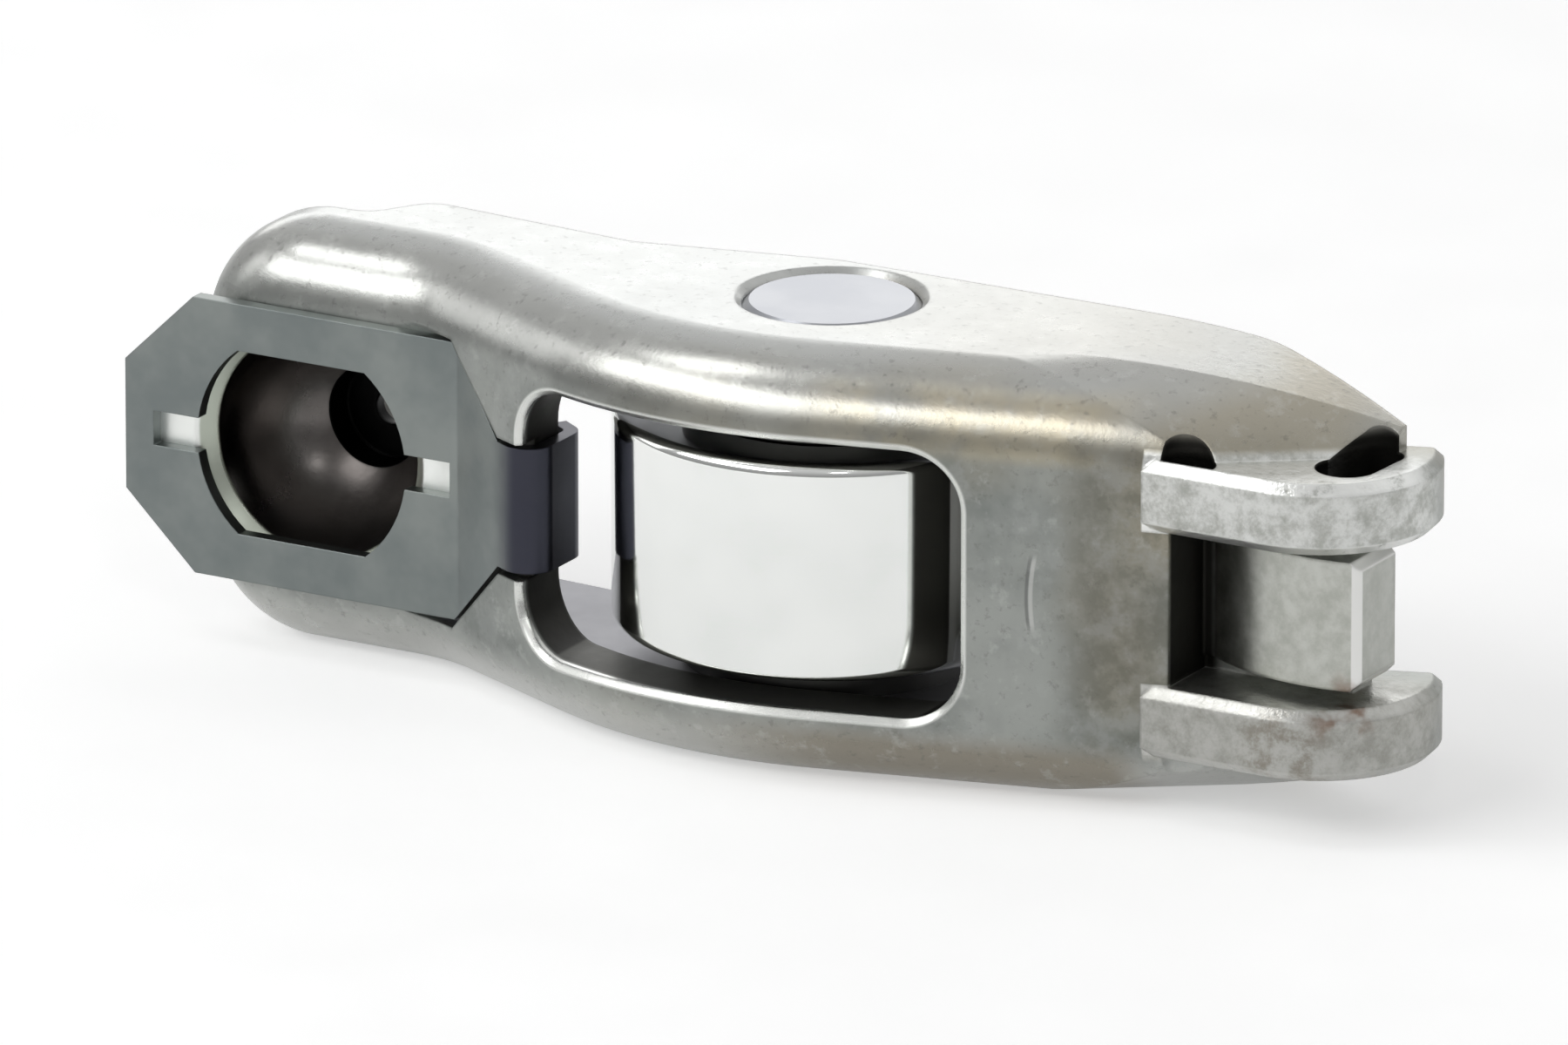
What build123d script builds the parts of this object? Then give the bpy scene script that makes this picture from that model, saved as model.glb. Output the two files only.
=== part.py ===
"""Roller finger follower: a stamped rocker arm with a ball cup, a needle-bearing roller and a valve pallet.

The lever is one piece of thick sheet steel, pressed into a channel. The web of the channel is the
underside (-Y) and its two side walls stand up towards the camshaft (+Y). A window in the web holds
the roller, which turns on needles round an axle staked into the walls. At one end the web is drawn
into a cup for the ball of the lash adjuster, with a spring clip over it. At the other end it narrows
to a pallet that pushes the valve, between two lugs that guide the valve's stem.

The origin is the centre of the adjuster's ball. +X runs along the lever to the valve and +Z along
the axle. The lever lies on one side wall, as it comes to rest on a bench. Sizes are in millimetres.
"""

import os
from math import cos, pi, radians, sin, tan

from build123d import *

# Sheet of the lever
SHEET = 2.8
BODY_WIDTH = 17.6
BEND_RADIUS = 3.4  # outside, between web and walls
EDGE_BREAK = 0.25  # the broken edge round the window

# Underside of the web, seen from the side
SEAT_Y = -1.0  # flat that carries the clip
KNEE_X = 4.9  # where the flat turns down into the belly
KNEE_RADIUS = 6.0
BELLY_ANGLE = 25.1  # slope on the cup's side
BELLY_X = 18.3  # where the two slopes would meet
BELLY_RADIUS = 19.5
VALVE_ANGLE = 14.5  # slope on the valve's side
WEB_END_X = 39.7
STEP_RUN = 3.4  # length of the rise inside the channel, behind the end of the web
STEP_TOP_Y = 3.4

# Free edge of the side walls, seen from the side
END_WALL_Y = 3.2
SHOULDER_FOOT = (0.2, 3.4)
SHOULDER = (1.7, 5.9)
WAIST = (11.3, 5.3)
ROLLER_CREST = (19.6, 7.3)
VALVE_CREST = (39.4, 7.5)
WALL_TIP = (46.9, 4.5)
SHOULDER_RADIUS = 1.4
WAIST_RADIUS = 3.0
EDGE_CORNER = 0.5
EDGE_RADIUS = 5.0

# Outline of the lever, seen from below
CUP_END_X = -6.1
CUP_END_CORNER = 5.0
CUP_TAB_RADIUS = 7.2
TAPER_START_X = 33.8
TAPER_RADIUS = 49.0

# Cup for the adjuster's ball
BALL_RADIUS = 4.65
CUP_WALL = 1.65  # at its sides
CUP_MOUTH_CHAMFER = 0.7
DIMPLE_RADIUS = 2.1
DIMPLE_DEPTH = 0.8
OIL_HOLE_RADIUS = 0.7
CUP_POLE_WALL = 2.2
DOME_BANDS = 4  # conical bands from its side to its top
CUP_SEAM_ANGLE = 35.0  # where the turned surfaces start, clear of every other edge

# Roller, needles and axle
AXLE_X = 21.8
AXLE_Y = 3.0
AXLE_DIAMETER = 7.2
AXLE_RECESS = 0.12  # each end lies this far inside the wall's outer face
AXLE_CHAMFER = 0.3  # on the axle and on the holes that it is staked in
ROLLER_DIAMETER = 17.5
ROLLER_WIDTH = 9.0
ROLLER_EDGE = 0.5
NEEDLE_COUNT = 13
NEEDLE_RADIAL_CLEARANCE = 0.02  # to the axle and to the ring, each
NEEDLE_GAP = 0.03  # between neighbours
NEEDLE_END_INSET = 0.25
WASHER_CLEARANCE = 0.06  # between washer and ring
WASHER_WEB_GAP = 0.27  # between the washer's rim and the web

# Window in the web
WINDOW_CUP_SIDE = 10.2  # from the axle to the window's edge
WINDOW_VALVE_SIDE = 9.65
WINDOW_HALF_WIDTH = 5.55
WINDOW_CORNER = 2.4

# Guide lugs and pallet
GUIDE_GAP = 6.4
LUG_THICKNESS = 2.9
LUG_X = 44.1
LUG_Y = 2.6
LUG_RADIUS = 4.85
LUG_START_X = 38.75
LUG_TOP_Y = 5.45
LUG_EDGE = 0.4
NECK_START = (41.8, -0.9)
NECK_END = (45.8, 0.5)
NECK_OVERLAP = 0.45  # the sheared edge of the wall ends this far inside the lug
LUG_BACKING = 4.3  # the lug reaches this far up behind the edge of the wall
PRESS_POINT = (42.0, -0.4)  # where the pressed-in wall meets the lug's outer face
PRESS_ANGLE = 35.0  # of that meeting line, against the seat
PRESS_RADIUS = 8.0
OPENING_FLOOR = 1.0  # what is left of a lug's thickness below the openings
RELIEF_HOLE = (40.5, -1.75)  # a half disc, with its straight side here
RELIEF_HOLE_RADIUS = 1.15
NOTCH_FOOT = (46.1, 1.1)
NOTCH_FOOT_RADIUS = 1.25
NOTCH_HEAD = (46.6, 3.05)
NOTCH_HEAD_RADIUS = 0.85
PALLET_WIDTH = 5.3
PALLET_GROOVE_WIDTH = 0.5
PALLET_X = 45.1  # where the pallet's curve is lowest, on the valve's axis
PALLET_Y = -0.34
PALLET_RADIUS = 8.9
PALLET_END_X = 47.3
PALLET_END_TOP_Y = 2.9
PALLET_CORNER = 0.35
PALLET_BEVEL = 0.25
PALLET_BACK_Y = 1.3  # the sheet behind the pallet joins the lugs from here up
PALLET_BACK_INSET = 1.0

# Spring clip over the cup
CLIP_SHEET = 0.6
CLIP_NOSE_X = -8.2
CLIP_NOSE_HALF = 2.72
CLIP_SHOULDER_X = -5.0
CLIP_HALF_WIDTH = 5.8
CLIP_TAPER_X = 7.1
CLIP_TAIL_X = 10.1
CLIP_TAIL_HALF = 2.6
CLIP_HOLE_RADIUS = 4.85
CLIP_HOLE_FLAT = 3.85  # half the distance between the two flats
CLIP_SLOT_HALF = 0.73
CLIP_SLOT_REACH = 6.9  # from the cup's centre to the end of each slot
CLIP_KNEE_RADIUS = 1.5  # inside radii of its three bends
CLIP_FOLD_RADIUS = 0.5
CLIP_HOOK_RADIUS = 0.4
CLIP_POCKET_X = 7.3  # where the seat's flat ends under the clip
CLIP_GAP = 0.25
CLIP_LEG_GAP = 0.05
CLIP_LEG_REACH = 0.4  # past the inner face of the web
CLIP_HOOK = 0.9
CLIP_HOOK_RISE = 0.6

FAR = 40.0  # longer than any cut needs to be
UPRIGHT = 0.1  # a face or an edge that leans less than this counts as upright

HALF_WIDTH = BODY_WIDTH / 2
INNER_HALF = HALF_WIDTH - SHEET
LUG_INNER = GUIDE_GAP / 2
LUG_OUTER = LUG_INNER + LUG_THICKNESS
AXLE_RADIUS = AXLE_DIAMETER / 2
ROLLER_RADIUS = ROLLER_DIAMETER / 2


def parallel(points, distance):
    """The corners of a polyline moved sideways by a distance, to its left."""
    points = [Vector(*p) for p in points]
    runs = [(b - a).normalized() for a, b in zip(points, points[1:])]
    moved = []
    for i, point in enumerate(points):
        before, after = runs[max(i - 1, 0)], runs[min(i, len(runs) - 1)]
        normal = (Vector(-before.Y, before.X) + Vector(-after.Y, after.X)).normalized()
        reach = distance / normal.dot(Vector(-before.Y, before.X))
        moved.append((point.X + normal.X * reach, point.Y + normal.Y * reach))
    return moved


def along_z(face, low, high):
    """A face of the side view, from one Z to another."""
    return extrude(Pos(0, 0, low) * face, high - low)


def along_y(face):
    """A face drawn in (X, Z) as seen from below, through the whole height."""
    return extrude(Plane.XZ * face, FAR, both=True)


def both_sides(part):
    """A piece of the +Z side together with its mirror image."""
    return part + mirror(part, about=Plane.XY)


def underside():
    """Corners of the web's outer face, from the cup's end to past the valve's end."""
    drop = tan(radians(BELLY_ANGLE)) * (BELLY_X - KNEE_X)
    end_x = WALL_TIP[0] + SHEET
    rise = tan(radians(VALVE_ANGLE)) * (end_x - BELLY_X)
    belly_y = SEAT_Y - drop
    start = (CUP_END_X - SHEET, SEAT_Y)
    return [start, (KNEE_X, SEAT_Y), (BELLY_X, belly_y), (end_x, belly_y + rise)]


def web_line(points, offset):
    """The web's outer face moved inward by an offset, with its bends concentric."""
    return FilletPolyline(*parallel(points, offset), radius=[KNEE_RADIUS + offset, BELLY_RADIUS - offset])


def side_outline():
    """The lever seen from the side, from the web's outer face to the free edge of the walls."""
    low = web_line(underside(), 0)
    end = low @ 1
    high = FilletPolyline(
        (CUP_END_X - SHEET, END_WALL_Y - SHEET),
        (CUP_END_X, END_WALL_Y),
        SHOULDER_FOOT,
        SHOULDER,
        WAIST,
        ROLLER_CREST,
        VALVE_CREST,
        WALL_TIP,
        (end.X, WALL_TIP[1] - SHEET / 2),
        radius=[
            EDGE_CORNER,
            SHOULDER_RADIUS,
            SHOULDER_RADIUS,
            WAIST_RADIUS,
            EDGE_RADIUS,
            EDGE_RADIUS,
            EDGE_CORNER,
        ],
    )
    return make_face([*low.edges(), Line(low @ 1, high @ 1), *high.edges(), Line(high @ 0, low @ 0)])


def plan_outline(inset, end_x):
    """The lever seen from below, moved inward by an inset and cut off at an X."""
    half = HALF_WIDTH - inset
    start = CUP_END_X + inset
    corner = CUP_END_CORNER - inset
    taper = TAPER_RADIUS + inset
    length = end_x - TAPER_START_X
    fall = taper - (taper**2 - length**2) ** 0.5
    half_line = Curve() + [
        Line((start, 0), (start, half - corner)),
        CenterArc((start + corner, half - corner), corner, 90, 90),
        Line((start + corner, half), (TAPER_START_X, half)),
        ThreePointArc(
            (TAPER_START_X, half),
            (TAPER_START_X + length / 2, half - taper + (taper**2 - length**2 / 4) ** 0.5),
            (end_x, half - fall),
        ),
        Line((end_x, half - fall), (end_x, 0)),
        Line((end_x, 0), (start, 0)),
    ]
    side = make_face(half_line.edges())
    return side + mirror(side, about=Plane.XZ)


def bend_edges(solid):
    """The edges between the web's outer face and the walls."""
    below = [face for face in solid.faces() if face.normal_at().Y < -0.5]
    edges = [edge for face in below for edge in face.edges()]
    rim = [edge for edge in edges if sum(edge.is_same(other) for other in edges) == 1]
    return [edge for edge in rim if edge.center().X < WALL_TIP[0] - SHEET / 2]


def neck_line(offset):
    """The edge where the wall is sheared from the lug, as two far points, moved up by an offset."""
    slope = (NECK_END[1] - NECK_START[1]) / (NECK_END[0] - NECK_START[0])
    left, right = WEB_END_X, WALL_TIP[0] + SHEET
    return [(x, NECK_START[1] + offset + slope * (x - NECK_START[0])) for x in (left, right)]


def space_between_walls():
    """What is cut from the outer form: the channel's inside, and all of the web past its end."""
    first, second, third, last = parallel(underside(), SHEET)
    step_x = WEB_END_X - STEP_RUN
    step_y = third[1] + (last[1] - third[1]) * (step_x - third[0]) / (last[0] - third[0])
    low = FilletPolyline(
        (first[0], first[1]),
        second,
        third,
        (step_x, step_y),
        (WEB_END_X, STEP_TOP_Y),
        radius=[KNEE_RADIUS + SHEET, BELLY_RADIUS - SHEET, STEP_RUN / 2],
    )
    rest = Polyline(
        low @ 1,
        (WEB_END_X, -FAR),
        (WALL_TIP[0] + SHEET, -FAR),
        (WALL_TIP[0] + SHEET, FAR),
        (first[0], FAR),
        low @ 0,
    )
    profile = make_face([*low.edges(), *rest.edges()])
    inside = along_y(plan_outline(SHEET, WALL_TIP[0] + SHEET))
    return along_z(profile, -HALF_WIDTH, HALF_WIDTH) & inside


def turned(edges):
    """A closed profile of the cup, drawn in (X, Y) and turned round the cup's axis."""
    return Rot(0, CUP_SEAM_ANGLE, 0) * revolve(make_face(edges), Axis.Y)


def cup():
    """The drawn dome of the cup, which stands inside the channel."""
    pole = BALL_RADIUS + CUP_POLE_WALL
    radius = BALL_RADIUS + CUP_WALL
    turn = pi / 2 / DOME_BANDS
    reach = radius / cos(turn / 2)
    angles = [turn * (band + 0.5) for band in range(DOME_BANDS)]
    corners = [(reach * cos(angle), pole - radius + reach * sin(angle)) for angle in angles]
    return turned(Polyline((0, 0), (radius, 0), *corners, (0, pole), close=True).edges())


def cup_tab():
    """The round end of the web beyond the walls, between the two bends."""
    disc = Rot(90, 0, 0) * Cylinder(CUP_TAB_RADIUS, SHEET)
    flat = BODY_WIDTH - 2 * BEND_RADIUS
    end = Pos(-CUP_TAB_RADIUS, 0, 0) * Box(2 * CUP_TAB_RADIUS, SHEET, flat)
    return Pos(0, SEAT_Y + SHEET / 2, 0) * (disc & end)


def cup_bore():
    """The seat of the ball with its mouth, the relief at its pole and the oil hole."""
    relief_y = (BALL_RADIUS**2 - DIMPLE_RADIUS**2) ** 0.5
    bottom_y = BALL_RADIUS + DIMPLE_DEPTH
    middle = BALL_RADIUS / 2**0.5
    seat = ThreePointArc((DIMPLE_RADIUS, relief_y), (middle, middle), (BALL_RADIUS, 0))
    below = Polyline(
        seat @ 1,
        (BALL_RADIUS, SEAT_Y + CUP_MOUTH_CHAMFER),
        (BALL_RADIUS + CUP_MOUTH_CHAMFER, SEAT_Y),
        (BALL_RADIUS + CUP_MOUTH_CHAMFER, SEAT_Y - SHEET),
        (0, SEAT_Y - SHEET),
        (0, FAR),
        (OIL_HOLE_RADIUS, FAR),
        (OIL_HOLE_RADIUS, bottom_y),
        (DIMPLE_RADIUS, bottom_y),
        seat @ 0,
    )
    return turned([seat, *below.edges()])


def window():
    """The opening in the web for the roller."""
    length = WINDOW_CUP_SIDE + WINDOW_VALVE_SIDE
    middle = AXLE_X + (WINDOW_VALVE_SIDE - WINDOW_CUP_SIDE) / 2
    return along_y(Pos(middle, 0) * RectangleRounded(length, 2 * WINDOW_HALF_WIDTH, WINDOW_CORNER))


def broken_edge(body):
    """The body with the outer edge of its window broken."""
    middle = AXLE_X + (WINDOW_VALVE_SIDE - WINDOW_CUP_SIDE) / 2
    reach = (WINDOW_CUP_SIDE + WINDOW_VALVE_SIDE) / 2 + EDGE_BREAK
    rim = []
    for face in body.faces():
        centre = face.center()
        inside = abs(centre.X - middle) < reach and abs(centre.Z) < WINDOW_HALF_WIDTH + EDGE_BREAK
        if inside and centre.Y < AXLE_Y and abs(face.normal_at().Y) < UPRIGHT:
            low = [edge for edge in face.edges() if edge.center().Y < centre.Y]
            rim += [edge for edge in low if abs(edge.tangent_at(0.5).Y) < 1 - UPRIGHT]
    return body.solid().chamfer(EDGE_BREAK, None, rim)


def lug():
    """One guide lug: a rounded plate beside the pallet, with all its punched edges broken."""
    low = LUG_Y - LUG_RADIUS
    disc = Pos(LUG_X, LUG_Y) * Circle(LUG_RADIUS)
    foot = Pos(LUG_START_X, low) * Rectangle(LUG_X - LUG_START_X, LUG_RADIUS, align=Align.MIN)
    (left, left_y), (right, right_y) = neck_line(LUG_BACKING)
    slope = (right_y - left_y) / (right - left)
    start_y = left_y + slope * (LUG_START_X - left)
    top_x = left + (LUG_TOP_Y - left_y) / slope
    allowed = make_face(
        Polyline(
            (LUG_START_X, low),
            (LUG_X + LUG_RADIUS, low),
            (LUG_X + LUG_RADIUS, LUG_TOP_Y),
            (top_x, LUG_TOP_Y),
            (LUG_START_X, start_y),
            close=True,
        ).edges()
    )
    plate = along_z((disc + foot) & allowed, LUG_INNER, LUG_OUTER)
    rims = plate.edges().filter_by(lambda edge: abs(edge.tangent_at(0.5).Z) < UPRIGHT)
    return chamfer(rims, LUG_EDGE)


def lug_openings():
    """The round relief and the long notch on either side of the neck that carries the lug."""
    upper_half = Rectangle(BODY_WIDTH, BODY_WIDTH, align=(Align.CENTER, Align.MIN))
    relief = Pos(*RELIEF_HOLE) * (Circle(RELIEF_HOLE_RADIUS) & upper_half)
    foot = Pos(*NOTCH_FOOT) * Circle(NOTCH_FOOT_RADIUS)
    head = Pos(*NOTCH_HEAD) * Circle(NOTCH_HEAD_RADIUS)
    notch = make_hull([*foot.edges(), *head.edges()])
    floor = LUG_INNER + OPENING_FLOOR
    return along_z(relief, floor, FAR) + along_z(notch, floor, FAR)


def pressed_in():
    """What is cut from the outside of one wall where it is rolled in towards the lug."""
    drop = HALF_WIDTH - LUG_OUTER
    reach = (PRESS_RADIUS**2 - (PRESS_RADIUS - drop) ** 2) ** 0.5
    line = Vector(1, 0).rotate(Axis.Z, PRESS_ANGLE)
    away = Vector(-line.Y, line.X)
    origin = Vector(*PRESS_POINT, HALF_WIDTH - PRESS_RADIUS) + away * reach
    middle = PRESS_RADIUS / 2**0.5
    arc = ThreePointArc((0, PRESS_RADIUS), (middle, middle), (PRESS_RADIUS, 0))
    rest = Polyline(arc @ 1, (FAR, 0), (FAR, FAR), (0, FAR), arc @ 0)
    plane = Plane(origin=origin, x_dir=away * -1, z_dir=line * -1)
    return extrude(plane * make_face([arc, *rest.edges()]), FAR, both=True)


def below_neck():
    """What is cut from the walls past the web's end, below the sheared edge."""
    line = neck_line(-NECK_OVERLAP)
    low = [(line[1][0], -FAR), (line[0][0], -FAR)]
    return along_z(make_face(Polyline(*line, *low, close=True).edges()), -FAR, FAR)


def pallet():
    """The tongue that pushes the valve, with its curved face and its broken corners."""
    centre_y = PALLET_Y + PALLET_RADIUS
    groove_x = WEB_END_X + PALLET_GROOVE_WIDTH

    def face_y(x):
        return centre_y - (PALLET_RADIUS**2 - (x - PALLET_X) ** 2) ** 0.5

    curve = ThreePointArc(
        (groove_x, face_y(groove_x)), (PALLET_X, PALLET_Y), (PALLET_END_X, face_y(PALLET_END_X))
    )
    rest = Polyline(
        curve @ 1,
        (PALLET_END_X, PALLET_END_TOP_Y),
        (WEB_END_X, STEP_TOP_Y),
        (WEB_END_X, face_y(groove_x)),
        curve @ 0,
    )
    tongue = along_z(make_face([curve, *rest.edges()]), -PALLET_WIDTH / 2, PALLET_WIDTH / 2)
    end = tongue.faces().sort_by(Axis.X)[-1]
    tongue = chamfer(end.edges().filter_by(Axis.Y), PALLET_CORNER)
    nose = tongue.faces().sort_by(Axis.X)[-1].edges().sort_by(Axis.Y)[0]
    back_end = PALLET_END_X - PALLET_BACK_INSET
    back = Polyline(
        (WEB_END_X, PALLET_BACK_Y),
        (back_end, PALLET_BACK_Y),
        (back_end, PALLET_END_TOP_Y),
        (WEB_END_X, STEP_TOP_Y),
        close=True,
    )
    return chamfer(nose, PALLET_BEVEL) + along_z(make_face(back.edges()), -LUG_INNER, LUG_INNER)


def clip_corners():
    """Corners of the clip's inner face, seen from the side, from its nose to the tip of its hook."""
    slope = tan(radians(BELLY_ANGLE))
    fold_x = AXLE_X - WINDOW_CUP_SIDE
    web_y = SEAT_Y - slope * (fold_x - KNEE_X)
    thick = 1 / cos(radians(BELLY_ANGLE))
    leg_x = fold_x + CLIP_LEG_GAP
    leg_y = web_y + SHEET * thick + CLIP_LEG_REACH
    return [
        (CLIP_NOSE_X, SEAT_Y),
        (CLIP_POCKET_X, SEAT_Y),
        (leg_x, web_y + CLIP_SHEET * thick),
        (leg_x, leg_y),
        (leg_x - CLIP_HOOK, leg_y + CLIP_HOOK_RISE),
    ]


def clip_line(offset):
    """The clip's inner face moved outward by an offset, with its bends concentric."""
    radii = [CLIP_KNEE_RADIUS - offset, CLIP_FOLD_RADIUS + offset, CLIP_HOOK_RADIUS + offset]
    return FilletPolyline(*parallel(clip_corners(), -offset), radius=radii)


def clip_outline(gap):
    """The clip seen from below without its holes, moved outward by a gap."""
    side = [
        (CLIP_NOSE_X, CLIP_NOSE_HALF),
        (CLIP_SHOULDER_X, CLIP_HALF_WIDTH),
        (CLIP_TAPER_X, CLIP_HALF_WIDTH),
        (CLIP_TAIL_X, CLIP_TAIL_HALF),
        (AXLE_X, CLIP_TAIL_HALF),
    ]
    side = parallel(side, gap)
    return make_face(Polyline(*side, *[(x, -z) for x, z in reversed(side)], close=True).edges())


def clip_pocket():
    """The shallow seat pressed into the web, in which the clip's tail lies flush."""
    inner = clip_line(0)
    fold_x = clip_corners()[2][0]
    past_fold = fold_x + SHEET
    rest = Polyline(
        inner @ 1,
        (past_fold, (inner @ 1).Y),
        (past_fold, -FAR),
        (CLIP_NOSE_X, -FAR),
        inner @ 0,
    )
    pocket = along_z(make_face([*inner.edges(), *rest.edges()]), -HALF_WIDTH, HALF_WIDTH)
    return pocket & along_y(clip_outline(CLIP_GAP))


def retaining_clip():
    """The spring clip: flat over the cup, down the ramp, and hooked through the window."""
    inner, outer = clip_line(0), clip_line(CLIP_SHEET)
    ends = [Line(inner @ 1, outer @ 1), Line(outer @ 0, inner @ 0)]
    strip = along_z(make_face([*inner.edges(), *outer.edges(), *ends]), -HALF_WIDTH, HALF_WIDTH)
    hole = Circle(CLIP_HOLE_RADIUS) & Rectangle(BODY_WIDTH, 2 * CLIP_HOLE_FLAT)
    slots = Rectangle(2 * CLIP_SLOT_REACH, 2 * CLIP_SLOT_HALF)
    return strip & along_y(clip_outline(0) - (hole + slots))


def axle_bore():
    """The hole through both walls, with its outer edges chamfered."""
    bore = Cylinder(AXLE_RADIUS, BODY_WIDTH)
    bevel = Cone(
        AXLE_RADIUS,
        AXLE_RADIUS + AXLE_CHAMFER,
        AXLE_CHAMFER,
        align=(Align.CENTER, Align.CENTER, Align.MAX),
    )
    return Pos(AXLE_X, AXLE_Y, 0) * (bore + both_sides(Pos(0, 0, HALF_WIDTH) * bevel))


def lever_body():
    """The whole stamping."""
    body = along_z(side_outline(), -HALF_WIDTH, HALF_WIDTH) & along_y(plan_outline(0, WALL_TIP[0]))
    body = fillet(bend_edges(body), BEND_RADIUS)
    body -= space_between_walls()
    body -= below_neck()
    body -= both_sides(pressed_in())
    body += both_sides(lug())
    body -= both_sides(lug_openings())
    body += pallet()
    body += cup_tab()
    body += cup()
    body -= cup_bore()
    body -= clip_pocket()
    body -= axle_bore()
    body -= window()
    return broken_edge(body)


def axle():
    """The axle, staked in both walls."""
    length = BODY_WIDTH - 2 * AXLE_RECESS
    pin = Cylinder(AXLE_RADIUS, length)
    return Pos(AXLE_X, AXLE_Y, 0) * chamfer(pin.edges().filter_by(GeomType.CIRCLE), AXLE_CHAMFER)


def needle_diameter():
    """The needle that fills the row: NEEDLE_COUNT of them round the axle, with their gaps."""
    share = sin(pi / NEEDLE_COUNT)
    return (2 * (AXLE_RADIUS + NEEDLE_RADIAL_CLEARANCE) * share - NEEDLE_GAP) / (1 - share)


def needle(index):
    """One needle of the full row."""
    diameter = needle_diameter()
    pin = Cylinder(diameter / 2, ROLLER_WIDTH - 2 * NEEDLE_END_INSET)
    reach = AXLE_RADIUS + NEEDLE_RADIAL_CLEARANCE + diameter / 2
    return Pos(AXLE_X, AXLE_Y, 0) * Rot(0, 0, 360 / NEEDLE_COUNT * index) * Pos(reach, 0, 0) * pin


def roller():
    """The hardened ring that the cam runs on, with a raceway for the needles."""
    raceway = AXLE_RADIUS + 2 * NEEDLE_RADIAL_CLEARANCE + needle_diameter()
    ring = Cylinder(ROLLER_RADIUS, ROLLER_WIDTH) - Cylinder(raceway, ROLLER_WIDTH)
    rims = ring.edges().filter_by(GeomType.CIRCLE).sort_by(lambda edge: edge.radius)
    return Pos(AXLE_X, AXLE_Y, 0) * chamfer(rims[-2:], ROLLER_EDGE)


def thrust_washer():
    """The washer between the roller and the upper wall, as wide as the web below it allows."""
    low = ROLLER_WIDTH / 2 + WASHER_CLEARANCE
    height = INNER_HALF - low
    belly = underside()[2]
    slope = radians(VALVE_ANGLE)
    to_web = (AXLE_Y - belly[1]) * cos(slope) - (AXLE_X - BELLY_X) * sin(slope) - SHEET
    disc = Cylinder(to_web - WASHER_WEB_GAP, height) - Cylinder(AXLE_RADIUS, height)
    return Pos(AXLE_X, AXLE_Y, low + height / 2) * disc


def export(name, solid):
    """Write one piece to its own file."""
    export_step(solid, f"parts/{name}.step")


os.makedirs("parts", exist_ok=True)
export("lever_body", lever_body())
export("retaining_clip", retaining_clip())
export("axle", axle())
export("roller", roller())
for index in range(NEEDLE_COUNT):
    export(f"needle_{index + 1:02d}", needle(index))
export("thrust_washer_upper", thrust_washer())
export("thrust_washer_lower", mirror(thrust_washer(), about=Plane.XY))
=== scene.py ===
import math

import bpy
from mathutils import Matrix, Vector


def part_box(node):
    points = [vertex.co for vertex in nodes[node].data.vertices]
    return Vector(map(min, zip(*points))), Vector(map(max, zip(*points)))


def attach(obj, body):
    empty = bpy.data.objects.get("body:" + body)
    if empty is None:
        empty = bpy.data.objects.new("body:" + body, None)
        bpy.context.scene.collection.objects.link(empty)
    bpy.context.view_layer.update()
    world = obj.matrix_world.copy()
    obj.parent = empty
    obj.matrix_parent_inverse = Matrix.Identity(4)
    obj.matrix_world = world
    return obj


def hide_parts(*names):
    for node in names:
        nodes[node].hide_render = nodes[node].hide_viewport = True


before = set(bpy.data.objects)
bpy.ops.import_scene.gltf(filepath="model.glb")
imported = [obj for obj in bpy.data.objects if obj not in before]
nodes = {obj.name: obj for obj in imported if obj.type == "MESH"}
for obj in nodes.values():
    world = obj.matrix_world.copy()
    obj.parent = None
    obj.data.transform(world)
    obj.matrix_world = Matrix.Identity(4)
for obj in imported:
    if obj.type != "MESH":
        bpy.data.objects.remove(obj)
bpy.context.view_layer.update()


# ------------------------------------------------------------------ stage
# The lever lies on one side wall, on white card that runs on out of sight. Soft
# lamps stand in front of it, over it, beside it and behind it.


class Val:
    """A socket in a shader. Arithmetic on it adds Math nodes."""

    def __init__(self, tree, socket):
        self.tree, self.socket = tree, socket

    def math(self, operation, *values):
        settings, inputs = {"operation": operation}, dict(enumerate(values))
        return add(self.tree, "ShaderNodeMath", settings, inputs).out()

    def __add__(self, other):
        return self.math("ADD", self, other)

    __radd__ = __add__

    def __sub__(self, other):
        return self.math("SUBTRACT", self, other)

    def __rsub__(self, other):
        return self.math("SUBTRACT", other, self)

    def __mul__(self, other):
        return self.math("MULTIPLY", self, other)

    __rmul__ = __mul__

    def __truediv__(self, other):
        return self.math("DIVIDE", self, other)

    def __rtruediv__(self, other):
        return self.math("DIVIDE", other, self)

    def __pow__(self, other):
        return self.math("POWER", self, other)

    def __abs__(self):
        return self.math("ABSOLUTE", self)

    def least(self, other):
        return self.math("MINIMUM", self, other)

    def most(self, other):
        return self.math("MAXIMUM", self, other)

    def above(self, low, high):
        """0 below low, 1 above high, and smooth between them."""
        settings = {"interpolation_type": "SMOOTHSTEP"}
        inputs = {"From Min": low, "From Max": high, "Value": self}
        return add(self.tree, "ShaderNodeMapRange", settings, inputs).out()

    def below(self, low, high):
        """1 below low, 0 above high, and smooth between them."""
        return 1 - self.above(low, high)


class Made:
    """A node that has been added, whose outputs are Vals."""

    def __init__(self, tree, node):
        self.tree, self.node = tree, node

    def out(self, name=0):
        return Val(self.tree, self.node.outputs[name])


def add(tree, kind, settings=None, inputs=None):
    """Adds a node: its settings first, then the values or links of its sockets."""
    node = tree.nodes.new(kind)
    for name, value in (settings or {}).items():
        if name == "stops":
            ramp = node.color_ramp
            while len(ramp.elements) < len(value):
                ramp.elements.new(0.5)
            for element, (place, colour) in zip(ramp.elements, value):
                element.position, element.color = place, (*colour, 1)
        else:
            setattr(node, name, value)
    for name, value in (inputs or {}).items():
        if isinstance(value, Val):
            tree.links.new(value.socket, node.inputs[name])
        else:
            node.inputs[name].default_value = value
    return Made(tree, node)


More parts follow.
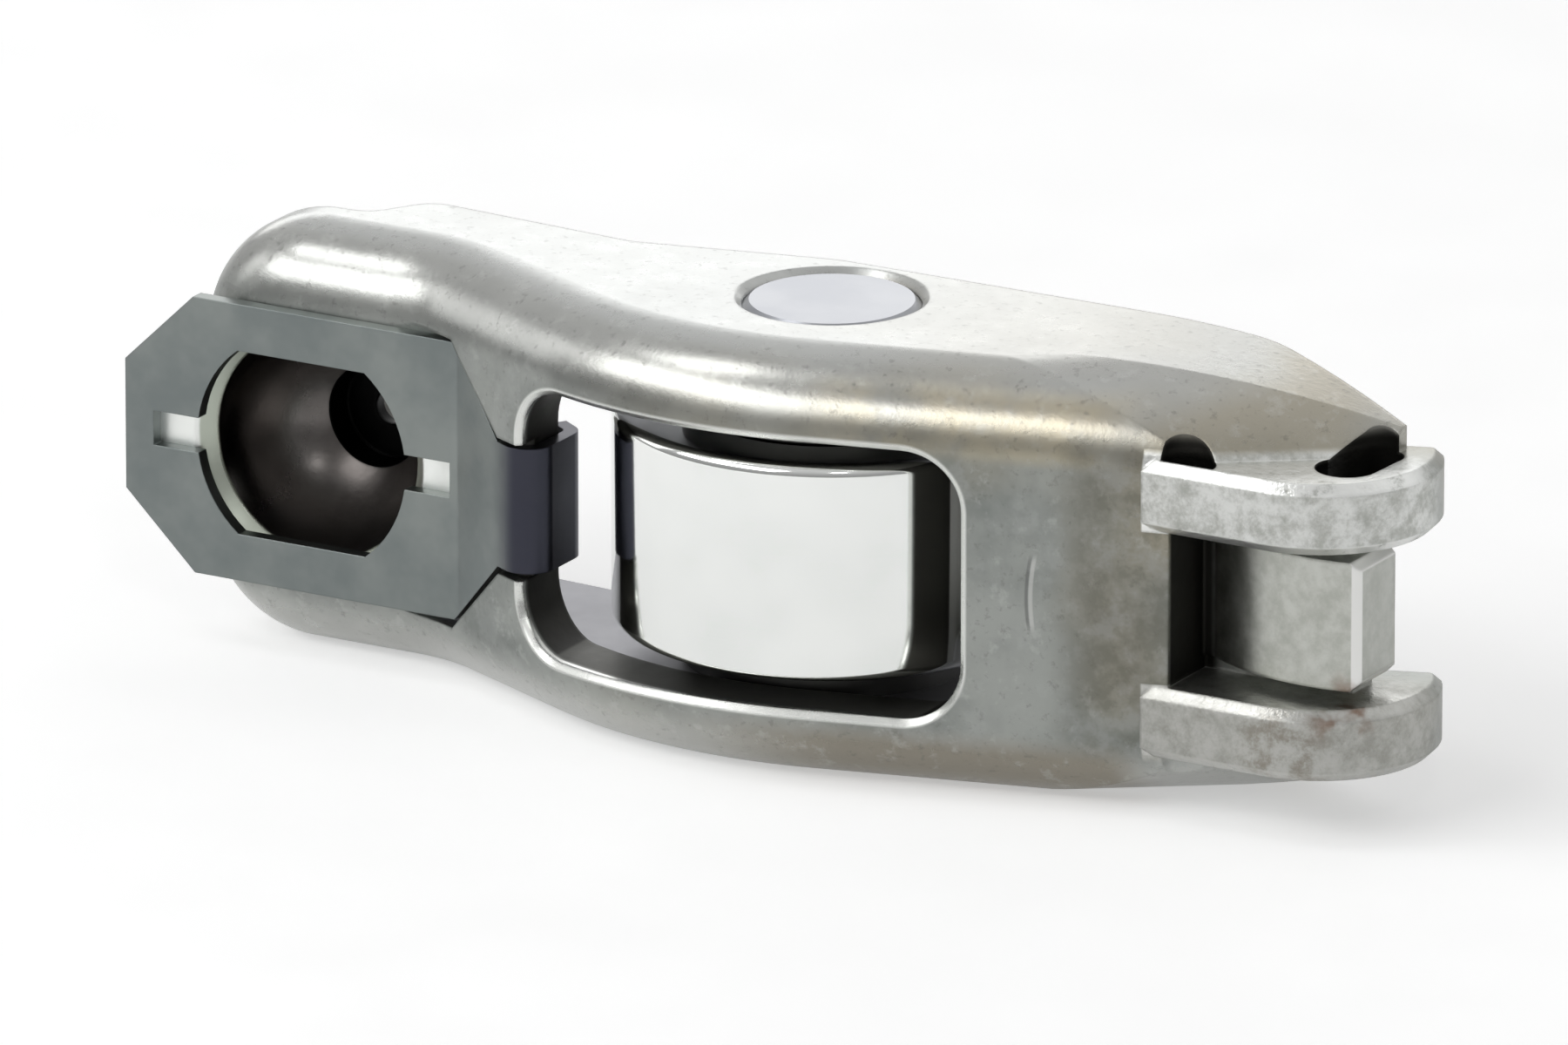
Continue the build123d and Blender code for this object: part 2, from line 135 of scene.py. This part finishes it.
def blank(name):
    """A new material with an empty node tree."""
    material = bpy.data.materials.new(name)
    material.use_nodes = True
    material.node_tree.nodes.clear()
    return material, material.node_tree


FLOOR_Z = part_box("lever_body")[0][2]
FLOOR_HALF = 4.0
CARD_LIFT = 0.395  # makes up, to the eye, for the light that the card takes
CARD_LIFT_MIRRORED = 0.30


def white_card():
    """Matt card that keeps the lever's shadow."""
    material, tree = blank("white_card")
    rays = add(tree, "ShaderNodeLightPath")
    lift = rays.out("Is Camera Ray") * CARD_LIFT + rays.out("Is Glossy Ray") * CARD_LIFT_MIRRORED
    grain = add(tree, "ShaderNodeTexNoise", {}, {"Scale": 900.0, "Detail": 3.0})
    tone = add(
        tree,
        "ShaderNodeValToRGB",
        {"stops": [(0.3, (0.88, 0.88, 0.88)), (0.7, (0.92, 0.92, 0.92))]},
        {"Fac": grain.out("Fac")},
    )
    card = add(tree, "ShaderNodeBsdfDiffuse", {}, {"Color": tone.out("Color")})
    glow = add(tree, "ShaderNodeEmission", {}, {"Color": (1, 1, 1, 1), "Strength": lift})
    both = add(tree, "ShaderNodeAddShader", {}, {0: card.out(), 1: glow.out()})
    add(tree, "ShaderNodeOutputMaterial", {}, {"Surface": both.out()})
    return material


card_mesh = bpy.data.meshes.new("floor")
square = [(-1, -1), (1, -1), (1, 1), (-1, 1)]
card_corners = [(across * FLOOR_HALF, along * FLOOR_HALF, 0) for across, along in square]
card_mesh.from_pydata(card_corners, [], [(0, 1, 2, 3)])
card_mesh.materials.append(white_card())
floor = bpy.data.objects.new("floor", card_mesh)
floor.location = (0, 0, FLOOR_Z)
bpy.context.collection.objects.link(floor)

# The white room. What the steel mirrors of it is dimmer in front than overhead and behind.
ROOM_IN_FRONT = 0.30
ROOM_MORE_OVERHEAD = 0.30
ROOM_MORE_BEHIND = 0.30
ROOM_FILL = 0.35

world = bpy.data.worlds.new("studio")
bpy.context.scene.world = world
world.use_nodes = True
world.node_tree.nodes.clear()
rays = add(world.node_tree, "ShaderNodeLightPath")
seen = rays.out("Is Camera Ray")
mirrored = rays.out("Is Glossy Ray")
direction = add(world.node_tree, "ShaderNodeTexCoord").out("Generated")
way = add(world.node_tree, "ShaderNodeSeparateXYZ", {}, {0: direction})
overhead = way.out("Z").above(0.0, 0.9) * ROOM_MORE_OVERHEAD
behind = way.out("Y").above(-0.5, 0.7) * ROOM_MORE_BEHIND
room = ROOM_IN_FRONT + overhead + behind
light = seen + (1 - seen) * (mirrored * room + (1 - mirrored) * ROOM_FILL)
sky = add(world.node_tree, "ShaderNodeBackground", {}, {"Color": (1, 1, 1, 1), "Strength": light})
add(world.node_tree, "ShaderNodeOutputWorld", {}, {"Surface": sky.out()})

# The lamps face the middle of the axle.
AXLE = Vector((0.0218, 0.0030, 0.0))


def toward(azimuth, elevation):
    """The direction from the lever to what stands round it, from angles in degrees."""
    around, up = math.radians(azimuth), math.radians(elevation)
    return Vector((math.sin(around) * math.cos(up), -math.cos(around) * math.cos(up), math.sin(up)))


def softbox(name, azimuth, elevation, distance, width, height, power):
    """A soft rectangular lamp that faces the lever."""
    data = bpy.data.lights.new(name, "AREA")
    data.shape = "RECTANGLE"
    data.size, data.size_y, data.energy = width, height, power
    lamp = bpy.data.objects.new(name, data)
    away = toward(azimuth, elevation)
    lamp.location = AXLE + away * distance
    lamp.rotation_euler = away.to_track_quat("Z", "Y").to_euler()
    bpy.context.collection.objects.link(lamp)


# Azimuth, elevation, distance, width, height and watts of each.
softbox("lamp_front", -32, 38, 0.7, 0.72, 0.26, 1.75)
softbox("lamp_above", -62, 60, 0.7, 0.20, 0.20, 0.4)
softbox("lamp_left", -80, 22, 0.7, 0.20, 0.30, 0.2)
softbox("lamp_right", 34, 38, 0.7, 0.07, 0.07, 0.16)
softbox("lamp_behind", 208, 17, 0.8, 0.8, 0.22, 0.85)

# The camera looks at the lever's underside from the side of the valve.
AIM = Vector((0.02113, 0.00036, 0.0))
VIEW = toward(30, 18)
CAMERA_DISTANCE = 1.0
VIEW_WIDTH = 0.06207  # what the frame takes in at that distance
SENSOR_WIDTH = 36.0

camera = bpy.data.objects.new("camera", bpy.data.cameras.new("camera"))
camera.data.sensor_width = SENSOR_WIDTH
camera.data.lens = SENSOR_WIDTH * CAMERA_DISTANCE / VIEW_WIDTH
camera.data.clip_start, camera.data.clip_end = 0.05, 30.0
camera.location = AIM + VIEW * CAMERA_DISTANCE
camera.rotation_euler = VIEW.to_track_quat("Z", "Y").to_euler()
bpy.context.collection.objects.link(camera)
bpy.context.scene.camera = camera
bpy.context.scene.view_settings.view_transform = "Standard"


# ------------------------------------------------------------ lever body
# One stamping of thick low-carbon sheet, case hardened and tumbled. The web is
# dull, the bends are rubbed bright, the sheared edges are rough, and the
# hollows keep their dark scale. Some shade and highlights are painted into the colour.

# Where its parts lie, in millimetres from the centre of the ball.
CLIP_FLAT_Y = -1.0  # the web under the clip
KNEE_X = 4.9  # where the web turns down to the belly
BELLY_SLOPE, VALVE_SLOPE = 0.468, 0.2586
VALVE_SLOPE_Y = -12.01  # of the valve's slope, carried on to the ball
BELLY_BLEND = 7.3
WINDOW_X = 21.525
WINDOW_HALF_LENGTH, WINDOW_HALF_WIDTH, WINDOW_CORNER = 9.925, 5.55, 2.4
CHANNEL_HALF = 6.1
TOOL_MARK_X = 34.3
LUGS_X = 38.6
LUG_RIMS = (3.4, 5.9)  # the middle of the inner and of the outer broken edge
WEB_END_X = 39.6
PALLET_HALF_WIDTH = 2.7
PALLET_NOSE_X = 47.3
BROKEN_EDGE = 0.00022  # in metres, as the edges are rounded
RELIEF = Vector((40.5, -1.75))
RELIEF_RADIUS = 1.18
NOTCH_FOOT, NOTCH_HEAD = Vector((46.1, 1.1)), Vector((46.6, 3.05))
NOTCH_RADIUS, NOTCH_TAPER = 1.28, 0.4
BALL_RADIUS, DIMPLE_RADIUS = 4.68, 2.13
CUP_DOME = 6.05
SLOT_HALF, SLOT_END = 0.72, 7.2  # of the clip's slots, over the web


def noise(tree, place, scale, detail=3.0, roughness=0.5):
    """Soft noise from 0 to 1; its scale counts waves to the metre."""
    inputs = {"Vector": place, "Scale": scale, "Detail": detail, "Roughness": roughness}
    return add(tree, "ShaderNodeTexNoise", {}, inputs).out("Fac")


def mix(tree, share, first, second):
    """Two colours, with this share of the second."""
    ends = [value if isinstance(value, Val) else (*value, 1) for value in (first, second)]
    inputs = {0: share, 6: ends[0], 7: ends[1]}
    return add(tree, "ShaderNodeMix", {"data_type": "RGBA"}, inputs).out(2)


def coats(tree, ground, *layers):
    """A colour with others laid over it in turn, each with the share that it covers."""
    for share, colour in layers:
        ground = mix(tree, share, ground, colour)
    return ground


def length(*parts):
    """The length of a vector with these parts."""
    squares = [part * part for part in parts]
    return sum(squares[1:], squares[0]) ** 0.5


def own_place(tree):
    """The shaded point in the part's frame, as a vector, and its parts in millimetres."""
    place = add(tree, "ShaderNodeTexCoord").out("Object")
    parts = add(tree, "ShaderNodeSeparateXYZ", {}, {0: place})
    return place, parts.out("X") * 1000, parts.out("Y") * 1000, parts.out("Z") * 1000


def rounded(tree, radius):
    """The normal with the sharp edges rounded by this radius."""
    return add(tree, "ShaderNodeBevel", {"samples": 4}, {"Radius": radius}).out()


def uneven(tree, height, strength, distance, normal=None):
    """The normal of a surface roughened by this height."""
    inputs = {"Height": height, "Strength": strength, "Distance": distance}
    if normal:
        inputs["Normal"] = normal
    return add(tree, "ShaderNodeBump", {}, inputs).out()


def finish(tree, colour, roughness, normal):
    """Bare metal as the surface of the material."""
    inputs = {"Base Color": colour, "Metallic": 1.0, "Roughness": roughness, "Normal": normal}
    metal = add(tree, "ShaderNodeBsdfPrincipled", {}, inputs)
    add(tree, "ShaderNodeOutputMaterial", {}, {"Surface": metal.out()})


def web_face(tree, x):
    """The height of the web's outer face: the clip's flat and the two slopes of the belly."""
    to_belly = (CLIP_FLAT_Y - (x - KNEE_X) * BELLY_SLOPE).least(CLIP_FLAT_Y)
    to_valve = x * VALVE_SLOPE + VALVE_SLOPE_Y
    inputs = {0: to_belly, 1: to_valve, 2: BELLY_BLEND}
    return add(tree, "ShaderNodeMath", {"operation": "SMOOTH_MAX"}, inputs).out()


def from_window(x, side):
    """The distance from the window's rounded outline, below 0 inside it."""
    over_x = (abs(x - WINDOW_X) - (WINDOW_HALF_LENGTH - WINDOW_CORNER)).most(0.0)
    over_z = (side - (WINDOW_HALF_WIDTH - WINDOW_CORNER)).most(0.0)
    return length(over_x, over_z) - WINDOW_CORNER


def lug_openings(x, y):
    """The half-round relief and the tapered notch behind a lug."""
    over_relief = y - RELIEF.y
    relief = length(x - RELIEF.x, over_relief).below(RELIEF_RADIUS - 0.005, RELIEF_RADIUS + 0.012)
    run = NOTCH_HEAD - NOTCH_FOOT
    foot_x, foot_y = x - NOTCH_FOOT.x, y - NOTCH_FOOT.y
    along = ((foot_x * run.x + foot_y * run.y) / run.length_squared).most(0.0).least(1.0)
    to_run = length(foot_x - along * run.x, foot_y - along * run.y)
    notch = (to_run + along * NOTCH_TAPER).below(NOTCH_RADIUS - 0.01, NOTCH_RADIUS + 0.01)
    return (relief * over_relief.above(0.0, 0.02)).most(notch)


def tumbled_steel():
    """The lever's finish, which follows its parts."""
    material, tree = blank("tumbled_steel")
    place, x, y, z = own_place(tree)
    side = abs(z)
    depth = y - web_face(tree, x)  # behind the web's outer face
    window = from_window(x, side)
    stain = noise(tree, place, 75.0, 2.0)
    cloud = noise(tree, place, 190.0, 5.0, 0.6)
    blotch = noise(tree, place, 520.0, 4.0, 0.65)
    rust = noise(tree, place, 800.0, 3.0)
    lump = noise(tree, place, 900.0, 4.0, 0.75)
    fine = noise(tree, place, 1100.0, 4.0, 0.65)
    speck = noise(tree, place, 2600.0, 3.0, 0.7)

    # Dull web, lighter bends and walls, and oil stains beside the window, with a warm
    # painted highlight on the upper bend and brown painted shade on the lower one.
    bend = side.above(5.4, 7.4)
    wall = side.above(8.3, 8.75)
    # The walls are painted darker towards the valve end, as painted shade.
    wall_with_painted_shade = mix(tree, x.above(22.0, 38.0), (0.52, 0.53, 0.52), (0.43, 0.43, 0.41))
    near_web = depth.below(2.6, 3.6)
    # A warm painted highlight on the upper bend beside the window.
    warm_painted_highlight = x.above(24.0, 28.0) * x.below(36.0, 39.0) * z.above(5.2, 6.0) * z.below(7.6, 8.4)
    # Brown painted shade on the lower bend, next to the card.
    brown_painted_shade = x.above(18.0, 27.0) * x.below(37.0, 39.0) * z.below(-6.8, -5.6)
    colour = coats(
        tree,
        mix(tree, cloud.above(0.3, 0.7), (0.205, 0.220, 0.208), (0.355, 0.370, 0.350)),
        (bend * 0.6, (0.56, 0.56, 0.54)),
        (stain.above(0.48, 0.66) * x.above(12.0, 30.0) * 0.6, (0.39, 0.345, 0.25)),
        (wall * 0.8, wall_with_painted_shade),
        (warm_painted_highlight * near_web * cloud.above(0.2, 0.6) * 0.75, (0.52, 0.46, 0.33)),
        (brown_painted_shade * near_web * 0.8, (0.235, 0.21, 0.165)),
        (speck.above(0.56, 0.72) * 0.30, (0.12, 0.12, 0.11)),
        (fine.above(0.55, 0.70) * 0.22, (0.62, 0.63, 0.61)),
    )

    # The web is blotched, most of all near the lugs, and a tool has left a faint line across it.
    web = depth.below(0.2, 0.3)
    near_lugs = x.above(34.6, 37.4) * side.below(5.6, 7.0) * web
    across_mark = x - TOOL_MARK_X - z * z * 0.06
    mark = abs(z - 0.2).below(1.2, 1.7) * web
    colour = coats(
        tree,
        colour,
        (near_lugs * cloud.above(0.32, 0.62) * 0.7, (0.15, 0.145, 0.12)),
        (near_lugs * blotch.above(0.48, 0.6) * 0.35, (0.11, 0.11, 0.085)),
        (blotch.below(0.38, 0.5) * (1 - bend) * 0.25, (0.42, 0.43, 0.42)),
        (abs(across_mark).below(0.04, 0.12) * mark * 0.45, (0.66, 0.66, 0.64)),
        (abs(across_mark + 0.16).below(0.03, 0.10) * mark * 0.5, (0.10, 0.10, 0.10)),
    )

    # Guide lugs, rough all over, with bright broken edges. The lower one is painted
    # darker, its edges dimmer, as painted shade, and it has a brown stain.
    lug = x.above(LUGS_X, LUGS_X + 0.1) * side.above(3.1, 3.15)
    lug = lug * side.below(6.2, 6.5) * y.below(2.2, 4.5)
    inner_rim, outer_rim = [abs(side - rim).below(0.17, 0.25) for rim in LUG_RIMS]
    broken = inner_rim.most(outer_rim) * y.below(1.5, 2.5)
    lower_lug_painted_shade = z.below(-4.0, 0.0)
    blot = length(x - 45.0, z + 4.9).below(0.8, 2.4)
    rough = coats(
        tree,
        mix(tree, lump.above(0.3, 0.66), (0.46, 0.47, 0.44), (0.80, 0.81, 0.79)),
        (broken * lump.above(0.25, 0.45) * (0.85 - lower_lug_painted_shade * 0.4), (0.95, 0.96, 0.94)),
        (lower_lug_painted_shade * 0.5, (0.25, 0.24, 0.21)),
        (blot * lump.below(0.35, 0.6) * 0.45, (0.22, 0.17, 0.12)),
    )

    # Pallet, ground dull, with bright bevels and a spot of rust at its lower corner.
    pallet = x.above(39.9, 40.3) * side.below(PALLET_HALF_WIDTH, PALLET_HALF_WIDTH + 0.02)
    nose = x.above(PALLET_NOSE_X - 0.32, PALLET_NOSE_X - 0.26) * y.below(0.2, 0.3)
    corners = x.above(PALLET_NOSE_X - 0.4, PALLET_NOSE_X - 0.32) * (side + x - 49.5).above(0.0, 0.1)
    pallet_end = x.above(PALLET_NOSE_X - 0.02, PALLET_NOSE_X + 0.01)
    ground = coats(
        tree,
        mix(tree, fine.above(0.3, 0.7), (0.43, 0.44, 0.40), (0.58, 0.59, 0.55)),
        (pallet_end * 0.6, (0.36, 0.37, 0.35)),
        (corners.most(nose), (0.80, 0.80, 0.78)),
    )
    rust_spot = length(x - 47.0, y + 0.8, z + 3.2).below(0.5, 1.8) * rust.above(0.42, 0.6)

    # The window's rim is broken, and painted bright along it as a painted highlight.
    rim = abs(window - 0.1).below(0.14, 0.28) * depth.below(0.4, 0.5)
    colour = coats(
        tree,
        colour,
        (lug * 0.9, rough),
        (pallet, ground),
        (rust_spot * 0.8, (0.19, 0.10, 0.055)),
        (rim * 0.8, (0.85, 0.86, 0.83)),
    )

    # Scale is dark in the channel. The window's cut faces, the riser behind the web's end
    # and the openings behind the upper lug are painted darkest, as painted shade.
    along_channel = x.below(LUGS_X, LUGS_X + 0.1) * x.above(-5.5, -1.5)
    inside = depth.above(0.32, 0.7) * side.below(CHANNEL_HALF, CHANNEL_HALF + 0.05) * along_channel
    cut_faces_painted_shade = window.below(0.05, 0.1) * depth.below(3.2, 3.6)
    riser = x.above(WEB_END_X - 0.05, WEB_END_X) * x.below(40.0, 40.6) * depth.above(0.1, 0.3)
    riser = riser * side.below(3.18, 3.22)
    openings_painted_shade = lug_openings(x, y) * z.above(4.0, 4.1) * side.below(6.6, 7.6)
    scale = inside.most(riser).most(openings_painted_shade)
    scale_and_painted_shade = coats(
        tree,
        mix(tree, cut_faces_painted_shade.most(riser).most(openings_painted_shade), (0.15, 0.15, 0.14), (0.028, 0.027, 0.024)),
        (side.above(5.45, 5.5) * inside, (0.11, 0.11, 0.10)),
        (side.above(5.9, 5.98) * inside, (0.34, 0.34, 0.36)),
    )

    # The ball's seat is dark, and its dimple is painted black as painted shade. Its
    # mouth and the web under the clip's slots are painted bright, as painted highlight.
    reach = length(x, z)
    in_cup = length(reach, y).below(CUP_DOME, CUP_DOME + 0.05)
    seat = reach.below(BALL_RADIUS, BALL_RADIUS + 0.04) * in_cup
    dimple_painted_black = reach.below(DIMPLE_RADIUS, DIMPLE_RADIUS + 0.02) * in_cup * y.above(3.0, 3.1)
    # The mouth ring is painted bright, as painted highlight.
    mouth_painted_highlight = reach.above(4.6, 4.66) * reach.below(5.4, 5.6) * abs(y + 0.65).below(0.4, 0.5)
    # The web seen through the clip's slots is painted near white, as painted light.
    slots = side.below(SLOT_HALF, SLOT_HALF + 0.04) * reach.above(4.9, 5.2)
    slots = slots * reach.below(SLOT_END, SLOT_END + 0.2) * y.below(-0.9, -0.8)
    colour = coats(
        tree,
        colour,
        (scale, scale_and_painted_shade),
        (seat, mix(tree, cloud.above(0.35, 0.65), (0.115, 0.105, 0.10), (0.19, 0.178, 0.17))),
        (dimple_painted_black, (0.006, 0.006, 0.006)),
        (mouth_painted_highlight * 0.85, (0.52, 0.56, 0.48)),
        (slots, (0.93, 0.95, 0.92)),
    )

    shine = 0.25 + cloud * 0.12 + fine * 0.10 - bend * 0.11 + wall * 0.04 - rim * 0.1
    shine = shine + lug * 0.10 - lug * broken * 0.14 + scale * 0.15 - seat * 0.20
    height = fine * 0.35 + speck * 0.35 + lump * lug * 4.5
    finish(tree, colour, shine, uneven(tree, height, 0.22, 0.00007, rounded(tree, BROKEN_EDGE)))
    return material


def dress(node, material):
    """Gives a CAD node its finish."""
    slots = nodes[node].data.materials
    slots.clear()
    slots.append(material)


dress("lever_body", tumbled_steel())


# -------------------------------------------------------- retaining clip
# Thin tempered spring steel, blanked and folded, snapped over the cup so that
# the adjuster's ball stays in. It is a little bluer and darker than the lever.


DULL_SPRING, PALE_SPRING = (0.185, 0.208, 0.206), (0.26, 0.282, 0.272)
FOLD_PAINTED_SHADE = (0.030, 0.029, 0.048)  # on the tail that folds down into the window
FOLD_FROM_X, FOLD_TO_X = 9.6, 11.2
CLIP_EDGE = 0.00008


def spring_steel():
    """Smooth cold-rolled strip, with painted shade on its tail, which folds into the window."""
    material, tree = blank("spring_steel")
    place, x, y, z = own_place(tree)
    cloud = noise(tree, place, 210.0, 4.0, 0.6)
    fine = noise(tree, place, 1500.0, 3.0, 0.6)
    colour = mix(tree, cloud.above(0.3, 0.7), DULL_SPRING, PALE_SPRING)
    # Painted shade on the tail, where it folds down into the window.
    colour = mix(tree, x.above(FOLD_FROM_X, FOLD_TO_X) * 0.9, colour, FOLD_PAINTED_SHADE)
    shine = 0.26 + cloud * 0.10 + fine * 0.05
    finish(tree, colour, shine, uneven(tree, fine, 0.12, 0.00003, rounded(tree, CLIP_EDGE)))
    return material


dress("retaining_clip", spring_steel())


# ---------------------------------------------------------------- roller
# The hardened ring that the cam runs on, ground and polished, with rounded rims.
# It is turned here in fine steps, because its mirror shows every flat.


def ground_steel(name, low, high, roughness, grooves):
    """Ground bearing steel, with faint grinding lines round the axle."""
    material, tree = blank(name)
    place, x, y, z = own_place(tree)
    drawn_out = {"X": x * 0.02, "Y": y * 0.02, "Z": z}
    lines = add(tree, "ShaderNodeCombineXYZ", {}, drawn_out).out()
    lines = noise(tree, lines, 9.0, 4.0, 0.7)
    cloud = noise(tree, place, 260.0, 3.0)
    colour = mix(tree, cloud.above(0.3, 0.7) * 0.6 + lines * 0.4, low, high)
    shine = roughness + cloud * 0.04 + lines * 0.03
    finish(tree, colour, shine, uneven(tree, lines, grooves, 0.00001))
    return material


ROLLER_RADIUS = 0.00875
RACEWAY_RADIUS = 0.005878
ROLLER_HALF = 0.0045
RIM_RADIUS = 0.0005
RING_STEPS = 256
RIM_STEPS = 6
DULL_RING, BRIGHT_RING = (0.82, 0.84, 0.82), (0.92, 0.93, 0.91)

profile = []
for step in range(RIM_STEPS + 1):
    turn = math.pi / 2 * step / RIM_STEPS
    radius = ROLLER_RADIUS - RIM_RADIUS * (1 - math.sin(turn))
    profile.append((radius, -ROLLER_HALF + RIM_RADIUS * (1 - math.cos(turn))))
profile += [(radius, -z) for radius, z in reversed(profile)]
profile += [(RACEWAY_RADIUS, ROLLER_HALF), (RACEWAY_RADIUS, -ROLLER_HALF)]

verts, faces = [], []
for step in range(RING_STEPS):
    turn = 2 * math.pi * step / RING_STEPS
    out_x, out_y = math.cos(turn), math.sin(turn)
    verts += [(AXLE.x + radius * out_x, AXLE.y + radius * out_y, z) for radius, z in profile]
    first, second = step * len(profile), (step + 1) % RING_STEPS * len(profile)
    for i in range(len(profile)):
        j = (i + 1) % len(profile)
        faces.append((first + i, second + i, second + j, first + j))
ring_mesh = bpy.data.meshes.new("roller_ring")
ring_mesh.from_pydata(verts, [], faces)
ring_mesh.polygons.foreach_set("use_smooth", [True] * len(faces))
ring_mesh.set_sharp_from_angle(angle=math.radians(30))
ring_mesh.materials.append(ground_steel("roller_steel", DULL_RING, BRIGHT_RING, 0.05, 0.05))
ring = bpy.data.objects.new("roller_ring", ring_mesh)
bpy.context.collection.objects.link(ring)
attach(ring, "roller")
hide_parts("roller")


# -------------------------------------------- axle, needles and washers
# The axle is ground, and its ends are staked in the side walls. The needles and
# the washers are of the same hardened steel, and the washers are dark.

DULL_AXLE, PALE_AXLE = (0.33, 0.34, 0.37), (0.44, 0.45, 0.47)
DULL_NEEDLE, BRIGHT_NEEDLE = (0.60, 0.60, 0.60), (0.70, 0.70, 0.70)
DARK_WASHER, WASHER = (0.10, 0.10, 0.10), (0.16, 0.16, 0.15)

dress("axle", ground_steel("axle_steel", DULL_AXLE, PALE_AXLE, 0.28, 0.10))
needle_steel = ground_steel("needle_steel", DULL_NEEDLE, BRIGHT_NEEDLE, 0.12, 0.05)
washer_steel = ground_steel("washer_steel", DARK_WASHER, WASHER, 0.35, 0.10)
for node in nodes:
    if node.startswith("needle_"):
        dress(node, needle_steel)
    if node.startswith("thrust_washer"):
        dress(node, washer_steel)
